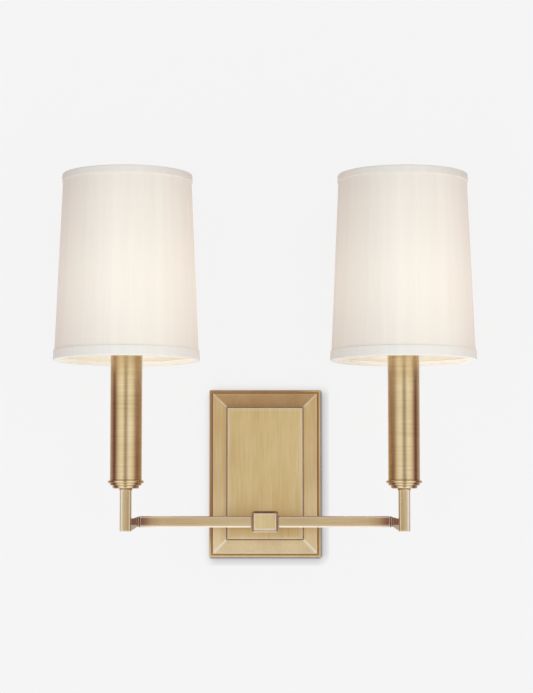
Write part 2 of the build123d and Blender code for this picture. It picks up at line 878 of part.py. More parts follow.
def lead(side, up):
    """One lead. up is 1 for the upper (live) lead in the arm and -1 for the lower one."""
    arm_lead_z = arm_z + up * lead_offset
    nest = lead_nest(up)
    depth = lead_depth(up)
    stub_x = side * lead_offset
    nut_x = up * wire_nut_place + stub_x
    stem_x = side * (lamp_x - up * lead_offset)
    terminal_x = side * (lamp_x - up * lead_terminal_offset)
    y = -lamp_reach
    points = [
        (nut_x, -depth, nut_mouth_z),
        (nut_x, -depth, nut_mouth_z - lead_in_nut_straight),
        (stub_x, -depth, -strap_height / 2 - lead_below_strap),
        (stub_x, -depth, arm_lead_z),
        (stub_x, y, arm_lead_z),
        (stem_x, y, arm_lead_z),
        (stem_x, y, boss_top_z + lead_spread_height),
        (terminal_x, y, socket_z - lead_spread_height),
        (terminal_x, y, socket_z + lead_terminal_depth),
    ]
    radii = [
        lead_nut_turn,
        lead_nut_turn,
        lead_plate_turn + nest,
        lead_turn,
        lead_turn + nest,
        lead_spread_turn,
        lead_spread_turn,
    ]
    path = FilletPolyline(*points, radius=radii)
    section = Plane(origin=points[0], z_dir=(0, 0, -1)) * Circle(lead_diameter / 2)
    return sweep(section, path=path)


def make_fixture():
    """Everything on the wall between the two lamps."""
    save("backplate", backplate())
    save("mounting_strap", mounting_strap())
    save("plate_screws", grub_screw(-1), grub_screw(1))
    save("ground_screw", ground_screw())
    save("ground_wire", ground_wire())
    save(
        "wire_nuts",
        wire_nut(wire_nut_place, lead_depth(1)),
        wire_nut(-wire_nut_place, lead_depth(-1)),
        wire_nut(ground_nut_place, ground_wire_depth + ground_wire_lift),
    )
    save("stub_arm", stub_arm())
    save("stub_nipple", stub_nipple())
    save("stub_nut", stub_nut())
    save("hub_block", hub_block())


def make_lamps():
    """The two lamps and their arms: the same pieces on each side."""
    on_lamp_axis = {
        "cup": cup(),
        "cup_nipple": cup_nipple(),
        "candle_sleeve": candle_sleeve(),
        "socket_bracket": socket_bracket(),
        "socket_body": socket_body(),
        "socket_shell": socket_shell(),
        "socket_contact": socket_contact(),
        "ring_nut": ring_nut(),
        "shade_fitter": shade_fitter(),
        "shade_top_ring": rim_ring(shade_height - ring_height_in_rim()),
        "shade_fabric": shade_wall(0, cloth_thickness),
        "shade_liner": shade_wall(cloth_thickness + glue_gap, wall_stack),
        "shade_top_trim": shade_top_trim(),
        "shade_bottom_trim": shade_bottom_trim(),
        "bulb_glass": bulb_glass(),
        "bulb_base": bulb_base(),
        "bulb_tip": bulb_tip(),
        "bulb_filament": bulb_filament(),
    }
    sides = {"left": -1, "right": 1}
    for name, side in sides.items():
        lamp = Pos(side * lamp_x, -lamp_reach, 0)
        for piece, solid in on_lamp_axis.items():
            save(name + "_" + piece, lamp * solid)
        save(name + "_arm", arm(side))
        save(name + "_joint_collar", joint_collar(side))
        save(name + "_elbow_link", elbow_link(side))
        save(name + "_stem", stem(side))
        save(name + "_hot_lead", lead(side, 1))
        save(name + "_neutral_lead", lead(side, -1))
    lamps = [Pos(side * lamp_x, -lamp_reach, 0) for side in sides.values()]
    save("nipple_nuts", *[lamp * nipple_nut() for lamp in lamps])
    save("socket_screws", *[lamp * socket_screw() for lamp in lamps])


make_fixture()
make_lamps()
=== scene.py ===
"""Double arm wall sconce: looks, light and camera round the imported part.

Metres, +Z up. The wall is at Y = 0, and the origin is at the middle of the wall plate.
"""
import math

import bpy
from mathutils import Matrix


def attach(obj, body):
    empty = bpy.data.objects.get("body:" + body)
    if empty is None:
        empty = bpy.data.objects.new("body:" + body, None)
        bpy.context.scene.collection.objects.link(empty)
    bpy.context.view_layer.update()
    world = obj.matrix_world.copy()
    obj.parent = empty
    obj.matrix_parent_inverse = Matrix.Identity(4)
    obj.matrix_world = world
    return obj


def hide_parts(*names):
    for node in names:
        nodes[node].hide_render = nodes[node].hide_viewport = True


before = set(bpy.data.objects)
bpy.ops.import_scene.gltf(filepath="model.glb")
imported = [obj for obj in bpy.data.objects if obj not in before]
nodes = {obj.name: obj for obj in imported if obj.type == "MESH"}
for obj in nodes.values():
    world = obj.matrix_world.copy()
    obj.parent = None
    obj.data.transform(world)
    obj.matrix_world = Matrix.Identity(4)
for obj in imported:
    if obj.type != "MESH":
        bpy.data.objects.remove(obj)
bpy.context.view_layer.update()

# Real sizes in metres, as the part's source has them.
mm = 0.001
lamp_x = 138.1 * mm
lamp_y = -88.9 * mm
shade_foot = 110.0 * mm
shade_height = 187.0 * mm
shade_foot_radius = 72.2 * mm
shade_head_radius = 64.1 * mm
cloth_thickness = 0.6 * mm
glue_gap = 0.05 * mm
liner_inset = 0.65 * mm
liner_thickness = 0.5 * mm
tape_thickness = 0.9 * mm
foot_tape_height = 10.5 * mm
head_tape_height = 7.5 * mm
tape_turn_in = 4.4 * mm
tape_play = 0.1 * mm
ring_wire = 2.4 * mm
lap_width = 9.0 * mm
lap_step = 0.5 * mm
bulb_middle = 185.0 * mm

# Sizes in millimetres, for the finishes that go by place. Heights are from the plate's middle,
# and the ends of the ledge's and the bevel's finish are from the plate's edge.
plate_width = 114.3
plate_height = 171.45
ledge_end = 3.8
bevel_end = 17.2
hub_middle = -50.0
arm_foot = -55.6
arm_darkens = 95.0
arm_darkest = 135.0
stem_square = 11.0

# How finely the shades are divided, round and up.
shade_columns = 192
cloth_rows = 40
liner_rows = 12

# The bulb's light through the cloth, as shares of the cloth's strength, and how far it reaches.
light_far_from_bulb = 0.095
light_at_bulb = 0.21
light_added_at_right = 0.13
light_lost_inward = 0.05
light_lost_at_head = 0.045
light_reach = 60 * mm
head_reach = 35 * mm

# The camera, level with the plate and tipped up a little, from the lamps' axes.
camera_aside = 1.5 * mm
camera_distance = 2132 * mm
camera_height = -58.4 * mm
camera_tip = 94.9
camera_sensor = 36
camera_lens = 111.4


# Small helpers for materials.


def linear(hex_colour):
    """An sRGB hex colour as the linear one that shaders take."""
    channels = []
    for start in (1, 3, 5):
        value = int(hex_colour[start : start + 2], 16) / 255
        channels.append(value / 12.92 if value <= 0.04045 else ((value + 0.055) / 1.055) ** 2.4)
    return (*channels, 1.0)


def join(tree, value, socket):
    """Gives a socket a plain value, an output, or the output in use of a node."""
    if isinstance(value, bpy.types.Node):
        value = next(output for output in value.outputs if output.enabled)
    if isinstance(value, bpy.types.NodeSocket):
        tree.links.new(value, socket)
    else:
        socket.default_value = value


def add(tree, kind, inputs=None, stops=None, span=1.0, **settings):
    """Adds a node with its settings. inputs holds what each socket is given. stops holds a ramp's
    places, out of span, and its colours or greys."""
    node = tree.nodes.new(kind)
    for name, value in settings.items():
        setattr(node, name, value)
    for socket, value in (inputs or {}).items():
        join(tree, value, node.inputs[socket])
    if stops:
        elements = node.color_ramp.elements
        while len(elements) < len(stops):
            elements.new(1.0)
        for element, (place, colour) in zip(elements, stops):
            element.position = place / span
            element.color = linear(colour) if isinstance(colour, str) else (*[colour] * 3, 1.0)
    return node


def new_material(name, sockets):
    """A material with one Principled shader, whose uniform values are set on its own sockets."""
    material = bpy.data.materials.new(name)
    material.use_nodes = True
    tree = material.node_tree
    shader = tree.nodes["Principled BSDF"]
    for socket, value in sockets.items():
        join(tree, value, shader.inputs[socket])
    return material, tree, shader


def in_millimetres(tree, stretch=(1, 1, 1)):
    """The object's own coordinates in millimetres, each axis divided by its stretch."""
    place = add(tree, "ShaderNodeTexCoord").outputs["Object"]
    scale = [1 / mm / part for part in stretch]
    return add(tree, "ShaderNodeVectorMath", {0: place, 1: scale}, operation="MULTIPLY")


def place_in_mm(tree):
    """A point's X, its distance from the plate's middle line, and its Z."""
    place = add(tree, "ShaderNodeSeparateXYZ", {0: in_millimetres(tree)})
    x = place.outputs["X"]
    aside = add(tree, "ShaderNodeMath", {0: x}, operation="ABSOLUTE")
    return x, aside, place.outputs["Z"]


# Brass. Solid and sheet brass, brushed with fine grit, darkened, relieved and lacquered: satin and
# warm, with hair lines along the brushing, brown left in the corners and paler rubbed edges.

# Brown patina for inner corners, also used as painted shade.
dark_finish_and_painted_shade = "#7d5640"
rubbed_most = 0.8
corner_reach = 2.2 * mm
hair_line_depth = 0.05 * mm


def antique_brass(name, brushing, age, tones, roughness, anisotropy, rounding):
    """brushing is "upright" for hair lines up and down, "along" for lines along the arms, and
    "turned" for lines round a lamp's axis. age adds colour by place, both the piece's own and
    painted light and shade: it takes the tree and a tone and gives one. tones are the darker and
    the paler body and the rubbed edge. rounding is how far the buffing rolled the edges, in mm."""
    material, tree, shader = new_material(
        name, {"Metallic": 1.0, "Roughness": roughness, "Anisotropic": anisotropy}
    )
    darker, paler, edge = tones
    stretch = {"upright": (1, 1, 40), "along": (40, 1, 1), "turned": (40, 40, 1)}[brushing]
    # Hair lines of 0.1 mm don't show at this distance, so they are drawn 1 mm wide.
    lines = add(
        tree,
        "ShaderNodeTexNoise",
        {"Vector": in_millimetres(tree, stretch), "Scale": 0.9, "Detail": 3.0, "Roughness": 0.65},
    )
    # Uneven colour from hand darkening, in clouds 25 mm wide, drawn out along the brushing.
    cloud_stretch = [part**0.25 for part in stretch]
    clouds = add(
        tree,
        "ShaderNodeTexNoise",
        {
            "Vector": in_millimetres(tree, cloud_stretch),
            "Scale": 0.04,
            "Detail": 2.0,
            "Roughness": 0.5,
        },
    )
    # The tone goes 55 parts by the lines and 45 by the clouds.
    by_clouds = add(
        tree, "ShaderNodeMath", {0: clouds, 1: 0.45, 2: 0.0}, operation="MULTIPLY_ADD"
    )
    mixed = add(
        tree, "ShaderNodeMath", {0: lines, 1: 0.55, 2: by_clouds}, operation="MULTIPLY_ADD"
    )
    tone = add(tree, "ShaderNodeValToRGB", {0: mixed}, stops=[(0.36, darker), (0.64, paler)])
    # The piece's own colour by place, with its painted light and shade.
    if age:
        tone = age(tree, tone)
    # The dark finish stays where brushing doesn't reach, within about 2 mm of an inner corner.
    corners = add(tree, "ShaderNodeAmbientOcclusion", {"Distance": corner_reach}, samples=8)
    openness = corners.outputs["AO"]
    brushed = add(
        tree,
        "ShaderNodeMapRange",
        {0: openness, 1: 0.4, 2: 0.85},
        interpolation_type="SMOOTHSTEP",
    )
    colour = add(
        tree, "ShaderNodeMix", {0: brushed, 6: linear(dark_finish_and_painted_shade), 7: tone}, data_type="RGBA"
    )
    # Outer edges are rubbed pale: where the rounded surface turns away from the flat one.
    rolled = add(tree, "ShaderNodeBevel", {"Radius": rounding * mm}, samples=6)
    flat = add(tree, "ShaderNodeNewGeometry").outputs["Normal"]
    likeness = add(tree, "ShaderNodeVectorMath", {0: rolled, 1: flat}, operation="DOT_PRODUCT")
    turned_away = add(
        tree,
        "ShaderNodeMapRange",
        {0: likeness, 1: 0.998, 2: 0.95, 3: 0.0, 4: rubbed_most},
        interpolation_type="SMOOTHSTEP",
    )
    outer = add(
        tree,
        "ShaderNodeMapRange",
        {0: openness, 1: 0.8, 2: 0.98},
        interpolation_type="SMOOTHSTEP",
    )
    rub = add(tree, "ShaderNodeMath", {0: turned_away, 1: outer}, operation="MULTIPLY")
    rubbed = add(tree, "ShaderNodeMix", {0: rub, 6: colour, 7: linear(edge)}, data_type="RGBA")
    join(tree, rubbed, shader.inputs["Base Color"])
    grain = add(
        tree,
        "ShaderNodeBump",
        {"Height": lines, "Strength": 0.12, "Distance": hair_line_depth, "Normal": rolled},
    )
    join(tree, grain, shader.inputs["Normal"])
    # The axis leans a little, so that no face stands square to it.
    if brushing == "turned":
        tangent = add(tree, "ShaderNodeCombineXYZ", {"X": 0.03, "Y": 0.04, "Z": 1.0})
    else:
        axis = (1, 0.1, 0.15) if brushing == "along" else (0.1, 0.15, 1)
        tangent = add(
            tree, "ShaderNodeVectorMath", {0: flat, 1: axis}, operation="CROSS_PRODUCT"
        )
    join(tree, tangent, shader.inputs["Tangent"])
    return material


def plate_wear_and_painted_light(tree, tone):
    """The plate's ledge and the foot of its panel keep the dark finish. Painted shade darkens the
    ledge and the bevels more at the left and top, and the top bevel most; painted light leaves the
    ledge's rim pale at the right and foot. The panel's rim is rubbed paler, the mitres carry a
    painted highlight, and the bevels are painted lighter towards the foot."""
    x, aside, z = place_in_mm(tree)
    above = add(tree, "ShaderNodeMath", {0: z}, operation="ABSOLUTE")
    from_side = add(tree, "ShaderNodeMath", {0: plate_width / 2, 1: aside}, operation="SUBTRACT")
    from_end = add(tree, "ShaderNodeMath", {0: plate_height / 2, 1: above}, operation="SUBTRACT")
    margin = add(tree, "ShaderNodeMath", {0: from_side, 1: from_end}, operation="MINIMUM")
    # The ramps' places are mm from the plate's edge, in a zone as wide as this.
    zone = 24.0
    share = add(tree, "ShaderNodeMath", {0: margin, 1: zone}, operation="DIVIDE")
    # Painted light and shade on the ledge and bevels, over the dark finish in the grooves: lighter
    # at the right and foot, darker at the left and top.
    patina_and_painted_light_right_foot = add(
        tree,
        "ShaderNodeValToRGB",
        {0: share},
        span=zone,
        stops=[
            (0.0, "#ffffff"),
            (1.4, "#fffaf2"),
            (1.9, "#c9aea0"),
            (3.2, "#d6c0b4"),
            (3.9, "#ffffff"),
            (16.6, "#ffffff"),
            (17.6, "#cdb9ae"),
            (18.6, "#ffffff"),
        ],
    )
    patina_and_painted_shade_left_top = add(
        tree,
        "ShaderNodeValToRGB",
        {0: share},
        span=zone,
        stops=[
            (0.0, "#e6d6ca"),
            (0.8, "#cbb09f"),
            (3.2, "#cdb3a6"),
            (3.9, "#ffffff"),
            (13.0, "#fcfaf4"),
            (16.6, "#f0e6de"),
            (17.6, "#cdb9ae"),
            (18.6, "#ffffff"),
        ],
    )
    # The painted light near the right and foot edges gives way to the painted shade of the left and
    # top from 4 mm to a zone's width off the right and foot edges.
    to_right = add(tree, "ShaderNodeMath", {0: plate_width / 2, 1: x}, operation="SUBTRACT")
    to_foot = add(tree, "ShaderNodeMath", {0: z, 1: plate_height / 2}, operation="ADD")
    nearer = add(tree, "ShaderNodeMath", {0: to_right, 1: to_foot}, operation="MINIMUM")
    side = add(tree, "ShaderNodeMapRange", {0: nearer, 1: 4.0, 2: zone})
    both = add(
        tree,
        "ShaderNodeMix",
        {0: side, 6: patina_and_painted_light_right_foot, 7: patina_and_painted_shade_left_top},
        data_type="RGBA",
    )
    aged = add(
        tree, "ShaderNodeMix", {0: 1.0, 6: tone, 7: both}, data_type="RGBA", blend_type="MULTIPLY"
    )
    # Painted shade: the top bevel is darkened more with the dark finish from 5 mm down to the
    # panel.
    top_shade_at_panel = 0.24
    apart = add(tree, "ShaderNodeMath", {0: from_side, 1: from_end}, operation="SUBTRACT")
    from_top = add(tree, "ShaderNodeMath", {0: plate_height / 2, 1: z}, operation="SUBTRACT")
    inward = add(
        tree, "ShaderNodeMapRange", {0: from_top, 1: 5.0, 2: 17.0, 3: 0.0, 4: top_shade_at_panel}
    )
    on_end = add(tree, "ShaderNodeMath", {0: apart, 1: 0.0}, operation="GREATER_THAN")
    at_top = add(tree, "ShaderNodeMath", {0: from_top, 1: bevel_end}, operation="LESS_THAN")
    top_end = add(tree, "ShaderNodeMath", {0: on_end, 1: at_top}, operation="MULTIPLY")
    painted_shade = add(tree, "ShaderNodeMath", {0: top_end, 1: inward}, operation="MULTIPLY")
    with_top_shade = add(
        tree, "ShaderNodeMix", {0: painted_shade, 6: aged, 7: linear(dark_finish_and_painted_shade)}, data_type="RGBA"
    )
    # The four mitres carry a painted highlight, and the panel's rim is rubbed pale; the lower
    # mitres' highlight widens from 2 mm to 5 mm towards the corners.
    mitre_highlight_share = 0.6
    rim_share = 0.45
    across = add(tree, "ShaderNodeMath", {0: apart}, operation="ABSOLUTE")
    width = add(tree, "ShaderNodeMapRange", {0: z, 1: -60.0, 2: -80.0, 3: 2.0, 4: 5.0})
    mitre_highlight = add(
        tree,
        "ShaderNodeMapRange",
        {0: across, 1: 0.4, 2: width, 3: mitre_highlight_share, 4: 0.0},
        interpolation_type="SMOOTHSTEP",
    )
    worn = add(
        tree,
        "ShaderNodeValToRGB",
        {0: share},
        span=zone,
        stops=[
            (3.6, 0.0),
            (4.0, 1.0),
            (5.0, 0.0),
            (18.6, 0.0),
            (19.0, 0.7),
            (20.0, 0.3),
            (23.5, 0.0),
        ],
    )
    rim = add(tree, "ShaderNodeMath", {0: worn, 1: rim_share}, operation="MULTIPLY")
    before_panel = add(tree, "ShaderNodeMath", {0: margin, 1: bevel_end}, operation="LESS_THAN")
    past_ledge = add(tree, "ShaderNodeMath", {0: margin, 1: ledge_end}, operation="GREATER_THAN")
    line = add(tree, "ShaderNodeMath", {0: mitre_highlight, 1: before_panel}, operation="MULTIPLY")
    line = add(tree, "ShaderNodeMath", {0: line, 1: past_ledge}, operation="MULTIPLY")
    # Painted light: the bevels are paler than the panel, a little at the top and most at the foot.
    painted_light_towards_foot = add(tree, "ShaderNodeMapRange", {0: z, 1: 50.0, 2: -70.0, 3: 0.04, 4: 0.17})
    bevel = add(tree, "ShaderNodeMath", {0: before_panel, 1: past_ledge}, operation="MULTIPLY")
    relieved = add(tree, "ShaderNodeMath", {0: painted_light_towards_foot, 1: bevel}, operation="MULTIPLY")
    most = add(tree, "ShaderNodeMath", {0: line, 1: rim}, operation="MAXIMUM")
    most = add(tree, "ShaderNodeMath", {0: most, 1: relieved}, operation="MAXIMUM")
    return add(
        tree, "ShaderNodeMix", {0: most, 6: with_top_shade, 7: linear("#f4ead9")}, data_type="RGBA"
    )


def arm_tone_and_painted_highlight(tree, tone):
    """The arms turn darker and redder towards their knuckles. Their upper edge is rubbed pale, and
    their lower edge is painted pale as a highlight."""
    _, aside, z = place_in_mm(tree)
    outward = add(tree, "ShaderNodeMapRange", {0: aside, 1: arm_darkens, 2: arm_darkest})
    dark = add(
        tree,
        "ShaderNodeValToRGB",
        {0: outward},
        stops=[
            (0.0, "#ffffff"),
            (0.15, "#ffffff"),
            (0.43, "#e7dddb"),
            (0.56, "#c4a8ae"),
            (0.64, "#ae8c96"),
            (0.8, "#a5828a"),
            (1.0, "#a88890"),
        ],
    )
    aged = add(
        tree, "ShaderNodeMix", {0: 1.0, 6: tone, 7: dark}, data_type="RGBA", blend_type="MULTIPLY"
    )
    # Places are mm above the arm's underside.
    zone = 12.0
    height = add(tree, "ShaderNodeMapRange", {0: z, 1: arm_foot, 2: arm_foot + zone})
    # A painted highlight along the lower edge, and rubbed paleness along the upper.
    edges = add(
        tree,
        "ShaderNodeValToRGB",
        {0: height},
        span=zone,
        stops=[
            (0.0, 0.42),
            (2.1, 0.42),
            (2.9, 0.0),
            (9.0, 0.0),
            (9.5, 0.35),
            (10.5, 0.35),
            (10.9, 0.0),
        ],
    )
    return add(
        tree, "ShaderNodeMix", {0: edges, 6: aged, 7: linear("#fdf1e2")}, data_type="RGBA"
    )


def stem_painted_light(tree, tone):
    """Painted light and shade across each upright: its brass is paler towards its outer side and
    darker on its inner side."""
    _, aside, _ = place_in_mm(tree)
    # Places run across the upright, from its inner side to its outer side.
    inner_side = lamp_x / mm - stem_square / 2
    outer_side = lamp_x / mm + stem_square / 2
    place = add(tree, "ShaderNodeMapRange", {0: aside, 1: inner_side, 2: outer_side})
    # Painted light: the brass colour across the upright, lit towards its outer side.
    across = add(
        tree,
        "ShaderNodeValToRGB",
        {0: place},
        stops=[
            (0.0, "#cfb083"),
            (0.12, "#d8bc95"),
            (0.23, "#d1b388"),
            (0.36, "#dabe91"),
            (0.5, "#e2c89b"),
            (0.64, "#ebd4ab"),
            (0.77, "#fae7c8"),
            (0.88, "#fff5e4"),
            (0.97, "#fffaf0"),
            (1.0, "#e2c89b"),
        ],
    )
    return add(
        tree, "ShaderNodeMix", {0: 1.0, 6: tone, 7: across}, data_type="RGBA", blend_type="MULTIPLY"
    )


def hub_wear_and_painted_shade(tree, tone):
    """The hub block's bevels carry painted shade, with a painted shadow line along the lower one,
    and the edges of its face are rubbed pale, the lower edge more as a painted highlight.
    """
    _, aside, z = place_in_mm(tree)
    # Each row has a direction, the places in mm where its layer starts and is full, and its share.
    # The face's edges are rubbed pale; the lower edge's extra paleness is a painted highlight.
    face_edges = [
        (z, hub_middle - 6.2, hub_middle - 6.8, 0.35),
        (z, hub_middle + 6.6, hub_middle + 7.4, 0.2),
        (aside, 9.4, 10.0, 0.22),
    ]
    # Painted shade on the top and side bevels, and a painted shadow line along the lower one.
    bevels = [
        (z, hub_middle + 8.0, hub_middle + 8.6, 0.75),
        (aside, 10.9, 11.6, 0.5),
        (z, hub_middle - 8.0, hub_middle - 8.3, 0.78),
    ]
    layers = []
    for parts in (face_edges, bevels):
        most = 0.0
        for place, start, end, share in parts:
            part = add(
                tree,
                "ShaderNodeMapRange",
                {0: place, 1: start, 2: end, 3: 0.0, 4: share},
                interpolation_type="SMOOTHSTEP",
            )
            most = add(tree, "ShaderNodeMath", {0: part, 1: most}, operation="MAXIMUM")
        layers.append(most)
    pale, painted_shade = layers
    # The lower bevel's painted shadow is lighter below its top.
    less = add(
        tree,
        "ShaderNodeMapRange",
        {0: z, 1: hub_middle - 9.0, 2: hub_middle - 9.5, 3: 0.0, 4: 0.3},
    )
    painted_shade = add(tree, "ShaderNodeMath", {0: painted_shade, 1: less}, operation="SUBTRACT")
    paler = add(tree, "ShaderNodeMix", {0: pale, 6: tone, 7: linear("#fbf1e4")}, data_type="RGBA")
    return add(tree, "ShaderNodeMix", {0: painted_shade, 6: paler, 7: linear("#7a4f42")}, data_type="RGBA")


plate_tones = ("#d1b17b", "#e2c793", "#f6ecd9")
hub_tones = ("#d4b785", "#e6cf9e", "#fbf3e6")
arm_tones = ("#d0b485", "#e4cc9f", "#fbf3e6")
joint_tones = ("#d0b485", "#e4cc9f", "#cfae8b")
stem_tones = ("#efeae3", "#ffffff", "#dcc8a4")
turned_tones = ("#c8ae82", "#dcc69d", "#f4ead9")
plate_brass = antique_brass(
    "brushed_brass_plate", "upright", plate_wear_and_painted_light, plate_tones, 0.36, 0.85, 0.8
)
hub_brass = antique_brass("brushed_brass_hub", "upright", hub_wear_and_painted_shade, hub_tones, 0.34, 0.8, 0.6)
stem_brass = antique_brass("brushed_brass_stem", "upright", stem_painted_light, stem_tones, 0.3, 0.2, 3.0)
arm_brass = antique_brass("brushed_brass_arm", "along", arm_tone_and_painted_highlight, arm_tones, 0.38, 0.2, 1.2)
joint_brass = antique_brass("brushed_brass_joint", "along", arm_tone_and_painted_highlight, joint_tones, 0.38, 0.2, 1.2)
turned_brass = antique_brass("turned_brass", "turned", None, turned_tones, 0.34, 0.85, 0.5)
cup_brass = antique_brass("turned_brass_cup", "turned", None, turned_tones, 0.17, 0.3, 0.4)


def plain(name, colour, other, scale, roughness, metallic=0.0, bump=0.1):
    """A made surface with a small mottle between two colours. scale is the mottle's size in mm."""
    material, tree, shader = new_material(name, {"Metallic": metallic, "Roughness": roughness})
    mottle = add(
        tree,
        "ShaderNodeTexNoise",
        {"Vector": in_millimetres(tree), "Scale": 1 / scale, "Detail": 4.0},
    )
    tone = add(tree, "ShaderNodeValToRGB", {0: mottle}, stops=[(0.35, other), (0.65, colour)])
    join(tree, tone, shader.inputs["Base Color"])
    surface = add(
        tree, "ShaderNodeBump", {"Height": mottle, "Strength": bump, "Distance": 0.1 * mm}
    )
    join(tree, surface, shader.inputs["Normal"])
    return material


# Bright zinc plate on rolled strip and on screws: cool grey, faintly cloudy, with a soft shine.
zinc_steel = plain("zinc_plated_steel", "#c3c5c4", "#a9adb0", 2.0, 0.35, 1.0)
screw_steel = plain("bright_zinc_screws", "#c9c9c6", "#a8a8a6", 0.8, 0.28, 1.0)
# Brass as it comes from the lathe: yellow and bright.
raw_brass = plain("turned_brass_fittings", "#d9b56c", "#bf984f", 1.5, 0.25, 1.0)
# Moulded phenolic: near black, with a low gloss.
phenolic = plain("moulded_phenolic", "#1d1b1a", "#151413", 1.0, 0.32, bump=0.15)
# Powder coat on wire: off-white, with a fine orange peel.
shade_wire = plain("powder_coated_wire", "#e6e3da", "#dcd8cd", 0.6, 0.5, bump=0.25)
# Rolled aluminium, soft solder and drawn tungsten: pale, dull and dark grey metals.
bulb_cap = plain("rolled_aluminium_cap", "#c8c8c6", "#b0b0af", 1.5, 0.3, 1.0)
solder = plain("soft_solder", "#a9a9aa", "#8f8f91", 0.5, 0.4, 1.0, bump=0.3)
tungsten = plain("drawn_tungsten", "#6c6a67", "#5b5957", 0.3, 0.4, 1.0)
# Extruded wire insulation: smooth, with a slight gloss.
black_lead = plain("black_wire_insulation", "#1b1b1c", "#232324", 1.0, 0.35)
white_lead = plain("white_wire_insulation", "#dddcd3", "#d2d0c6", 1.0, 0.35)
# Drawn copper wire: red and bright.
copper = plain("bare_copper", "#c98a63", "#a9694a", 1.0, 0.32, 1.0)
# Moulded nylon: orange, with a satin face.
connector = plain("ribbed_nylon_connector", "#c8642a", "#b95722", 1.0, 0.4, bump=0.2)


# Shade cloth and its light.


def glow(tree, strength):
    """How much of the bulb's light comes through the cloth: most beside the bulb, and a little
    more on each lamp's right."""
    split = add(
        tree, "ShaderNodeSeparateXYZ", {0: add(tree, "ShaderNodeTexCoord").outputs["Object"]}
    )
    x, z = split.outputs["X"], split.outputs["Z"]
    # A bell curve up and down, which has fallen to 1 / e at its reach from the bulb's middle.
    height = add(tree, "ShaderNodeMath", {0: z, 1: bulb_middle}, operation="SUBTRACT")
    share = add(tree, "ShaderNodeMath", {0: height, 1: light_reach}, operation="DIVIDE")
    square = add(tree, "ShaderNodeMath", {0: share, 1: 2.0}, operation="POWER")
    fall = add(tree, "ShaderNodeMath", {0: square, 1: -1.0}, operation="MULTIPLY")
    bell = add(tree, "ShaderNodeMath", {0: math.e, 1: fall}, operation="POWER")
    total = add(
        tree,
        "ShaderNodeMapRange",
        {0: bell, 1: 0.0, 2: 1.0, 3: light_far_from_bulb * strength, 4: light_at_bulb * strength},
    )
    # Both lamps in one: the place across the nearer lamp, from its axis.
    far = add(tree, "ShaderNodeMath", {0: x, 1: 0.0}, operation="GREATER_THAN")
    axis = add(tree, "ShaderNodeMapRange", {0: far, 1: 0.0, 2: 1.0, 3: -lamp_x, 4: lamp_x})
    across = add(tree, "ShaderNodeMath", {0: x, 1: axis}, operation="SUBTRACT")
    at_right = add(
        tree,
        "ShaderNodeMapRange",
        {0: across, 1: -20 * mm, 2: 55 * mm, 3: 0.0, 4: light_added_at_right * strength},
        interpolation_type="SMOOTHSTEP",
    )
    # The inner sides have the other shade's light on them too, so they need less of their own.
    outward = add(tree, "ShaderNodeMath", {0: x}, operation="ABSOLUTE")
    inward = add(
        tree,
        "ShaderNodeMapRange",
        {
            0: outward,
            1: lamp_x - 60 * mm,
            2: lamp_x - 5 * mm,
            3: -light_lost_inward * strength,
            4: 0.0,
        },
    )
    # Under the top wire ring the cloth stays dimmer.
    shade_top = shade_foot + shade_height
    at_head = add(
        tree,
        "ShaderNodeMapRange",
        {0: z, 1: shade_top - head_reach, 2: shade_top, 3: 0.0, 4: -light_lost_at_head * strength},
    )
    for part in (at_right, inward, at_head):
        total = add(tree, "ShaderNodeMath", {0: total, 1: part}, operation="ADD")
    return total


def slub_cloth(name, colours, strength):
    """Faux silk, plain woven with slubbed warp threads that run up the shade: matt, off-white."""
    material, tree, shader = new_material(
        name, {"Roughness": 0.85, "Sheen Weight": 0.2, "Sheen Roughness": 0.5}
    )
    # Threads of 0.3 mm and slubs of 1 to 3 mm are drawn 1 mm wide and 45 mm long.
    thread_width = 1.0 * mm
    thread_length = 45 * mm
    threads = add(
        tree,
        "ShaderNodeVectorMath",
        {
            0: add(tree, "ShaderNodeUVMap", uv_map="cloth"),
            1: (1 / thread_width, 1 / thread_length, 0),
        },
        operation="MULTIPLY",
    )
    slubs = add(
        tree,
        "ShaderNodeTexNoise",
        {"Vector": threads, "Scale": 1.0, "Detail": 3.0, "Roughness": 0.6},
    )
    # The cloth isn't laminated quite evenly: soft upright bands 12 mm wide, lighter and darker.
    bands = add(
        tree,
        "ShaderNodeTexNoise",
        {"Vector": threads, "Scale": 0.085, "Detail": 2.0, "Roughness": 0.5},
    )
    band_share = 1.3
    both = add(
        tree, "ShaderNodeMath", {0: bands, 1: band_share, 2: slubs}, operation="MULTIPLY_ADD"
    )
    mean = add(tree, "ShaderNodeMath", {0: both, 1: band_share + 1}, operation="DIVIDE")
    tone = add(
        tree, "ShaderNodeValToRGB", {0: mean}, stops=[(0.35, colours[0]), (0.65, colours[1])]
    )
    join(tree, tone, shader.inputs["Base Color"])
    # Light through the cloth comes out warmer than the cloth is.
    warm = add(
        tree,
        "ShaderNodeMix",
        {0: 1.0, 6: tone, 7: linear("#fffcf6")},
        data_type="RGBA",
        blend_type="MULTIPLY",
    )
    join(tree, warm, shader.inputs["Emission Color"])
    join(tree, glow(tree, strength), shader.inputs["Emission Strength"])
    weave = add(
        tree, "ShaderNodeBump", {"Height": slubs, "Strength": 0.25, "Distance": 0.15 * mm}
    )
    join(tree, weave, shader.inputs["Normal"])
    return material


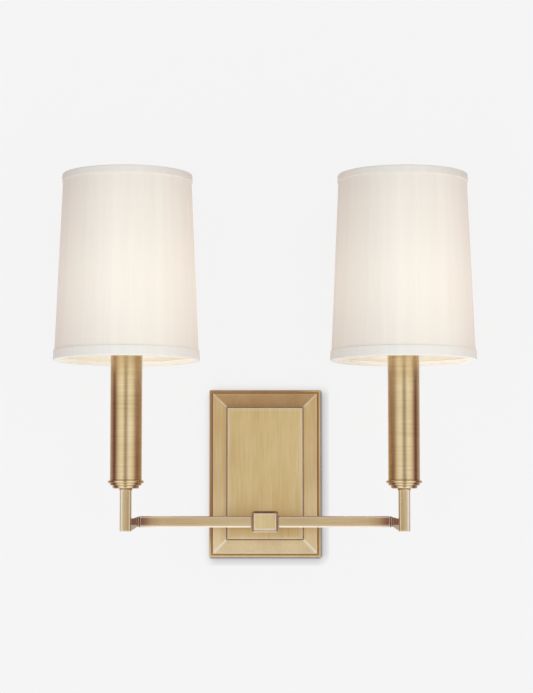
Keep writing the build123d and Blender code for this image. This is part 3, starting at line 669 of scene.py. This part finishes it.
def styrene_liner():
    """Cream styrene sheet, calendered smooth: even, with a slight gloss."""
    material, tree, shader = new_material("styrene_liner", {"Roughness": 0.45})
    # Clouds 20 mm wide.
    mottle = add(
        tree,
        "ShaderNodeTexNoise",
        {"Vector": in_millimetres(tree), "Scale": 0.05, "Detail": 2.0},
    )
    tone = add(
        tree, "ShaderNodeValToRGB", {0: mottle}, stops=[(0.3, "#f4f1e8"), (0.7, "#f7f4ee")]
    )
    join(tree, tone, shader.inputs["Base Color"])
    return material


def frosted_glass():
    """Soda glass, etched inside: white, and lit by its filament, warmer towards its outline."""
    material, tree, shader = new_material(
        "frosted_bulb_glass",
        {"Roughness": 0.35, "Base Color": linear("#f4efe4"), "Emission Strength": 2.2},
    )
    facing = add(tree, "ShaderNodeLayerWeight", {"Blend": 0.4}).outputs["Facing"]
    tone = add(
        tree, "ShaderNodeValToRGB", {0: facing}, stops=[(0.0, "#fff8f0"), (1.0, "#fff2e0")]
    )
    join(tree, tone, shader.inputs["Emission Color"])
    return material


# The tapes let less light through than the cloth, and the head's least.
cloth = slub_cloth("slubbed_faux_silk", ("#ebe4d8", "#f1ebe0"), 1.0)
foot_tape = slub_cloth("bias_tape_foot", ("#e8e6de", "#efede6"), 0.9)
head_tape = slub_cloth("bias_tape_head", ("#ebe6dc", "#f0ece3"), 0.5)
liner = styrene_liner()
bulb_glass = frosted_glass()


# Shade pieces.


def shade_radius(height):
    """The radius of the cloth's face at a height above the shade's foot."""
    share = height / shade_height
    return shade_foot_radius + (shade_head_radius - shade_foot_radius) * share


def turned_mesh(name, centre_x, profile, closed=False, step=None):
    """A mesh turned about a lamp's axis from (radius, height) points, with a flat map in metres
    that its weave follows. step gives an extra radius at a share of the way round."""
    rows = len(profile)
    lengths = [0.0]
    for before, after in zip(profile, profile[1:]):
        lengths.append(lengths[-1] + math.dist(before, after))
    verts = []
    for radius, height in profile:
        for column in range(shade_columns + 1):
            # The seam is at the back, towards the wall.
            angle = math.pi / 2 + 2 * math.pi * column / shade_columns
            reach = radius + (step(column / shade_columns) if step else 0.0)
            x = centre_x + reach * math.cos(angle)
            y = lamp_y + reach * math.sin(angle)
            verts.append((x, y, shade_foot + height))
    faces = []
    for row in range(rows if closed else rows - 1):
        low = row * (shade_columns + 1)
        high = (row + 1) % rows * (shade_columns + 1)
        for column in range(shade_columns):
            faces.append((low + column, low + column + 1, high + column + 1, high + column))
    mesh = bpy.data.meshes.new(name)
    mesh.from_pydata(verts, [], faces)
    around = 2 * math.pi * profile[0][0]
    layer = mesh.uv_layers.new(name="cloth")
    for face in mesh.polygons:
        face.use_smooth = True
        for loop_index in face.loop_indices:
            row, column = divmod(mesh.loops[loop_index].vertex_index, shade_columns + 1)
            layer.data[loop_index].uv = (around * column / shade_columns, lengths[row])
    piece = bpy.data.objects.new(name, mesh)
    bpy.context.scene.collection.objects.link(piece)
    return piece


def lap(around):
    """The lap where the sheet's end lies on its start: a ridge one sheet thick."""
    share = lap_width / (2 * math.pi * shade_foot_radius)
    far_slope = share * 0.08
    near_slope = share * 0.1
    if around < share:
        return lap_step * min(1.0, (share - around) / far_slope)
    edge = min(around, 1 - around)
    return 0.0 if edge > near_slope else lap_step * (1 - edge / near_slope)


def wall_profile(inset, low, high, rows):
    """Points up the shade, inset from the cloth's face."""
    heights = [low + (high - low) * row / (rows - 1) for row in range(rows)]
    return [(shade_radius(height) - inset, height) for height in heights]


def tape_profile(rim, toward, outer, inner):
    """Tape folded over a rim, as a closed outline with rounded folds. toward is 1 for the foot.
    outer and inner are how far it comes up the cloth's face and the liner's back."""
    thick = tape_thickness
    inside = cloth_thickness + glue_gap + liner_thickness + ring_wire + tape_play
    straights = 6
    turns = 8
    points = []

    def place(across, along):
        height = rim + toward * along
        points.append((shade_radius(height) + across, height))

    place(glue_gap, outer)
    place(glue_gap + 0.6 * thick, outer - 0.1 * thick)
    place(glue_gap + thick, outer - 0.5 * thick)
    for step in range(1, straights):
        place(glue_gap + thick, outer - (outer - thick) * step / straights)
    for turn in range(turns + 1):
        angle = math.pi / 2 * turn / turns
        place(glue_gap + thick * math.cos(angle), thick * (1 - math.sin(angle)))
    for turn in range(turns + 1):
        angle = math.pi / 2 * turn / turns
        place(-inside - thick * math.sin(angle), thick * (1 - math.cos(angle)))
    place(-inside - thick, inner - 0.3 * thick)
    place(-inside - thick * 0.7, inner)
    place(-inside, inner)
    place(-inside, thick)
    place(glue_gap, thick)
    return points


def make_shade(side, centre_x):
    """One shade's cloth, liner and tapes, which ride on its body and stand for its CAD solids."""
    body = side + "_shade"
    # The sheets end inside the tapes' folds.
    low = tape_thickness
    high = shade_height - tape_thickness
    face = wall_profile(0, low, high, cloth_rows)
    back = wall_profile(liner_inset + liner_thickness, low, high, liner_rows)
    foot_fold = tape_profile(0, 1, foot_tape_height, tape_turn_in)
    head_fold = tape_profile(shade_height, -1, head_tape_height, tape_turn_in)
    cover = turned_mesh(side + "_cloth", centre_x, face, step=lap)
    lining = turned_mesh(side + "_lining", centre_x, back)
    foot = turned_mesh(side + "_foot_tape", centre_x, foot_fold, closed=True)
    head = turned_mesh(side + "_head_tape", centre_x, head_fold, closed=True)
    for piece, material, slot, node in (
        (cover, cloth, "shade_cloth", "shade_fabric"),
        (lining, liner, "shade_liner", "shade_liner"),
        (foot, foot_tape, "shade_tape", "shade_bottom_trim"),
        (head, head_tape, "shade_tape", "shade_top_trim"),
    ):
        piece.data.materials.append(material)
        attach(piece, body)
        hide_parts(side + "_" + node)


for side, centre_x in (("left", -lamp_x), ("right", lamp_x)):
    make_shade(side, centre_x)


# Materials of the carried-over nodes.

finishes = {
    "backplate": plate_brass,
    "mounting_strap": zinc_steel,
    "plate_screws": screw_steel,
    "ground_screw": raw_brass,
    "ground_wire": copper,
    "wire_nuts": connector,
    "stub_arm": hub_brass,
    "stub_nipple": raw_brass,
    "stub_nut": screw_steel,
    "hub_block": hub_brass,
    "nipple_nuts": screw_steel,
    "socket_screws": screw_steel,
}
lamp_finishes = {
    "arm": arm_brass,
    "joint_collar": joint_brass,
    "elbow_link": joint_brass,
    "stem": stem_brass,
    "cup": cup_brass,
    "candle_sleeve": turned_brass,
    "cup_nipple": raw_brass,
    "socket_bracket": zinc_steel,
    "socket_body": phenolic,
    "socket_shell": raw_brass,
    "socket_contact": raw_brass,
    "ring_nut": phenolic,
    "shade_fitter": shade_wire,
    "shade_top_ring": shade_wire,
    "bulb_glass": bulb_glass,
    "bulb_base": bulb_cap,
    "bulb_tip": solder,
    "bulb_filament": tungsten,
    "hot_lead": black_lead,
    "neutral_lead": white_lead,
}
for side in ("left", "right"):
    for name, material in lamp_finishes.items():
        finishes[side + "_" + name] = material
for name, material in finishes.items():
    for slot in nodes[name].material_slots:
        slot.material = material


# Stage: a wall that shows only to the camera and keeps the object's shadow.


def make_wall():
    """A matt white wall, 6 m square. Its back is clear, so that the lamp shows from behind."""
    mesh = bpy.data.meshes.new("wall")
    half = 3
    # It stands off the plate's back by this much, so that they don't share a face.
    y = 0.2 * mm
    corners = [(-half, y, -half), (half, y, -half), (half, y, half), (-half, y, half)]
    mesh.from_pydata(corners, [], [(0, 1, 2, 3)])
    wall = bpy.data.objects.new("wall", mesh)
    bpy.context.scene.collection.objects.link(wall)
    for ray in ("diffuse", "glossy", "transmission", "shadow"):
        setattr(wall, "visible_" + ray, False)
    material = bpy.data.materials.new("matt_white_wall")
    material.use_nodes = True
    tree = material.node_tree
    tree.nodes.clear()
    paint = add(tree, "ShaderNodeBsdfDiffuse", {"Color": linear("#f6f6f6")})
    # The plate's contact shadow: how much of the light from the upper left it keeps from the
    # wall, in a wide soft shadow and a narrow dark one, with their reach in mm.
    wide = [
        (0.0, "#4c4c4b"),
        (0.25, "#808085"),
        (0.6, "#d4d4d6"),
        (0.85, "#e6e6e7"),
        (1.0, "#f6f6f6"),
    ]
    narrow = [(0.0, "#35332f"), (0.35, "#42403d"), (0.8, "#d6d6d6"), (1.0, "#ffffff")]
    from_light = add(tree, "ShaderNodeCombineXYZ", {"X": -0.62, "Y": -0.55, "Z": 0.56})
    shadows = []
    for reach, stops in ((10, wide), (2.4, narrow)):
        hidden = add(
            tree,
            "ShaderNodeAmbientOcclusion",
            {"Distance": reach * mm, "Normal": from_light},
            samples=16,
        )
        shadows.append(add(tree, "ShaderNodeValToRGB", {0: hidden.outputs["AO"]}, stops=stops))
    shade = add(
        tree,
        "ShaderNodeMix",
        {0: 1.0, 6: shadows[0], 7: shadows[1]},
        data_type="RGBA",
        blend_type="MULTIPLY",
    )
    shown = add(tree, "ShaderNodeEmission", {"Color": shade, "Strength": 1.0})
    # The camera sees nine parts of that to one of paint, whose light has the lamp's soft shadow.
    seen = add(tree, "ShaderNodeLightPath").outputs["Is Camera Ray"]
    share = add(tree, "ShaderNodeMath", {0: seen, 1: 0.9}, operation="MULTIPLY")
    front = add(tree, "ShaderNodeMixShader", {0: share, 1: paint, 2: shown})
    clear = add(tree, "ShaderNodeBsdfTransparent")
    behind = add(tree, "ShaderNodeNewGeometry").outputs["Backfacing"]
    both = add(tree, "ShaderNodeMixShader", {0: behind, 1: front, 2: clear})
    add(tree, "ShaderNodeOutputMaterial", {0: both})
    mesh.materials.append(material)


def make_studio():
    """Soft studio light as a world: wide cool soft boxes in front, reddish dark flags beside and
    above, a pale floor below."""
    world = bpy.data.worlds.new("studio")
    bpy.context.scene.world = world
    world.use_nodes = True
    tree = world.node_tree
    tree.nodes.clear()
    direction = add(tree, "ShaderNodeTexCoord").outputs["Generated"]
    split = add(tree, "ShaderNodeSeparateXYZ", {0: direction})
    x, y, z = split.outputs["X"], split.outputs["Y"], split.outputs["Z"]
    aside = add(tree, "ShaderNodeMath", {0: x}, operation="ABSOLUTE")
    front = add(tree, "ShaderNodeMath", {0: y, 1: -1.0}, operation="MULTIPLY")
    turn = add(tree, "ShaderNodeMath", {0: aside, 1: front}, operation="ARCTAN2")
    share = add(tree, "ShaderNodeMath", {0: turn, 1: math.pi}, operation="DIVIDE")
    # Places are degrees round from straight in front.
    boxes = add(
        tree,
        "ShaderNodeValToRGB",
        {0: share},
        span=180,
        stops=[
            (0, "#87837f"),
            (5, "#8b8783"),
            (13, "#bcbbbb"),
            (20, "#d4dde6"),
            (28, "#d8e3ec"),
            (50, "#ced2cf"),
            (62, "#bcb5af"),
            (72, "#948383"),
            (82, "#6a5053"),
            (90, "#53373b"),
            (100, "#5e4549"),
            (112, "#917b79"),
            (135, "#998f8d"),
            (155, "#b8b5b4"),
            (180, "#bcbab9"),
        ],
    )
    upward = add(tree, "ShaderNodeMapRange", {0: z, 1: -1.0, 2: 1.0})
    # Places are the direction's height, from straight down at 0 to straight up at 1.
    fall = add(
        tree,
        "ShaderNodeValToRGB",
        {0: upward},
        stops=[
            (0.0, "#c8c8c8"),
            (0.2, "#b1b1b2"),
            (0.35, "#bcbcbc"),
            (0.5, "#bcbcbc"),
            (0.68, "#b3b1b0"),
            (0.81, "#a89e9b"),
            (1.0, "#6a5356"),
        ],
    )
    tint = add(
        tree, "ShaderNodeMix", {0: 1.0, 6: boxes, 7: fall}, data_type="RGBA", blend_type="MULTIPLY"
    )
    below = add(tree, "ShaderNodeMapRange", {0: z, 1: -0.72, 2: -0.88})
    lights = add(
        tree, "ShaderNodeMix", {0: below, 6: tint, 7: linear("#a5a7ab")}, data_type="RGBA"
    )
    # The boxes are 1.85 times paper white, and the ramp's level colour is half.
    lit = add(tree, "ShaderNodeBackground", {"Color": lights, "Strength": 1.85 / 0.5})
    shown = add(tree, "ShaderNodeBackground", {"Color": linear("#f4f4f4"), "Strength": 1.0})
    # The camera sees the pale background all round, and metal and glass see it behind the object.
    path = add(tree, "ShaderNodeLightPath")
    seen = path.outputs["Is Camera Ray"]
    behind = add(tree, "ShaderNodeMapRange", {0: y, 1: 0.85, 2: 0.97})
    for ray in ("Is Glossy Ray", "Is Transmission Ray"):
        mirrored = add(
            tree, "ShaderNodeMath", {0: path.outputs[ray], 1: behind}, operation="MULTIPLY"
        )
        seen = add(tree, "ShaderNodeMath", {0: seen, 1: mirrored}, operation="MAXIMUM")
    both = add(tree, "ShaderNodeMixShader", {0: seen, 1: lit, 2: shown})
    add(tree, "ShaderNodeOutputWorld", {0: both})


def make_camera():
    """The photograph's view, on the lamps from in front of the plate."""
    data = bpy.data.cameras.new("camera")
    camera = bpy.data.objects.new("camera", data)
    bpy.context.scene.collection.objects.link(camera)
    camera.location = (camera_aside, lamp_y - camera_distance, camera_height)
    camera.rotation_euler = (math.radians(camera_tip), 0, 0)
    data.sensor_width = camera_sensor
    data.lens = camera_lens
    bpy.context.scene.camera = camera


make_wall()
make_studio()
make_camera()
bpy.context.scene.view_settings.view_transform = "Standard"
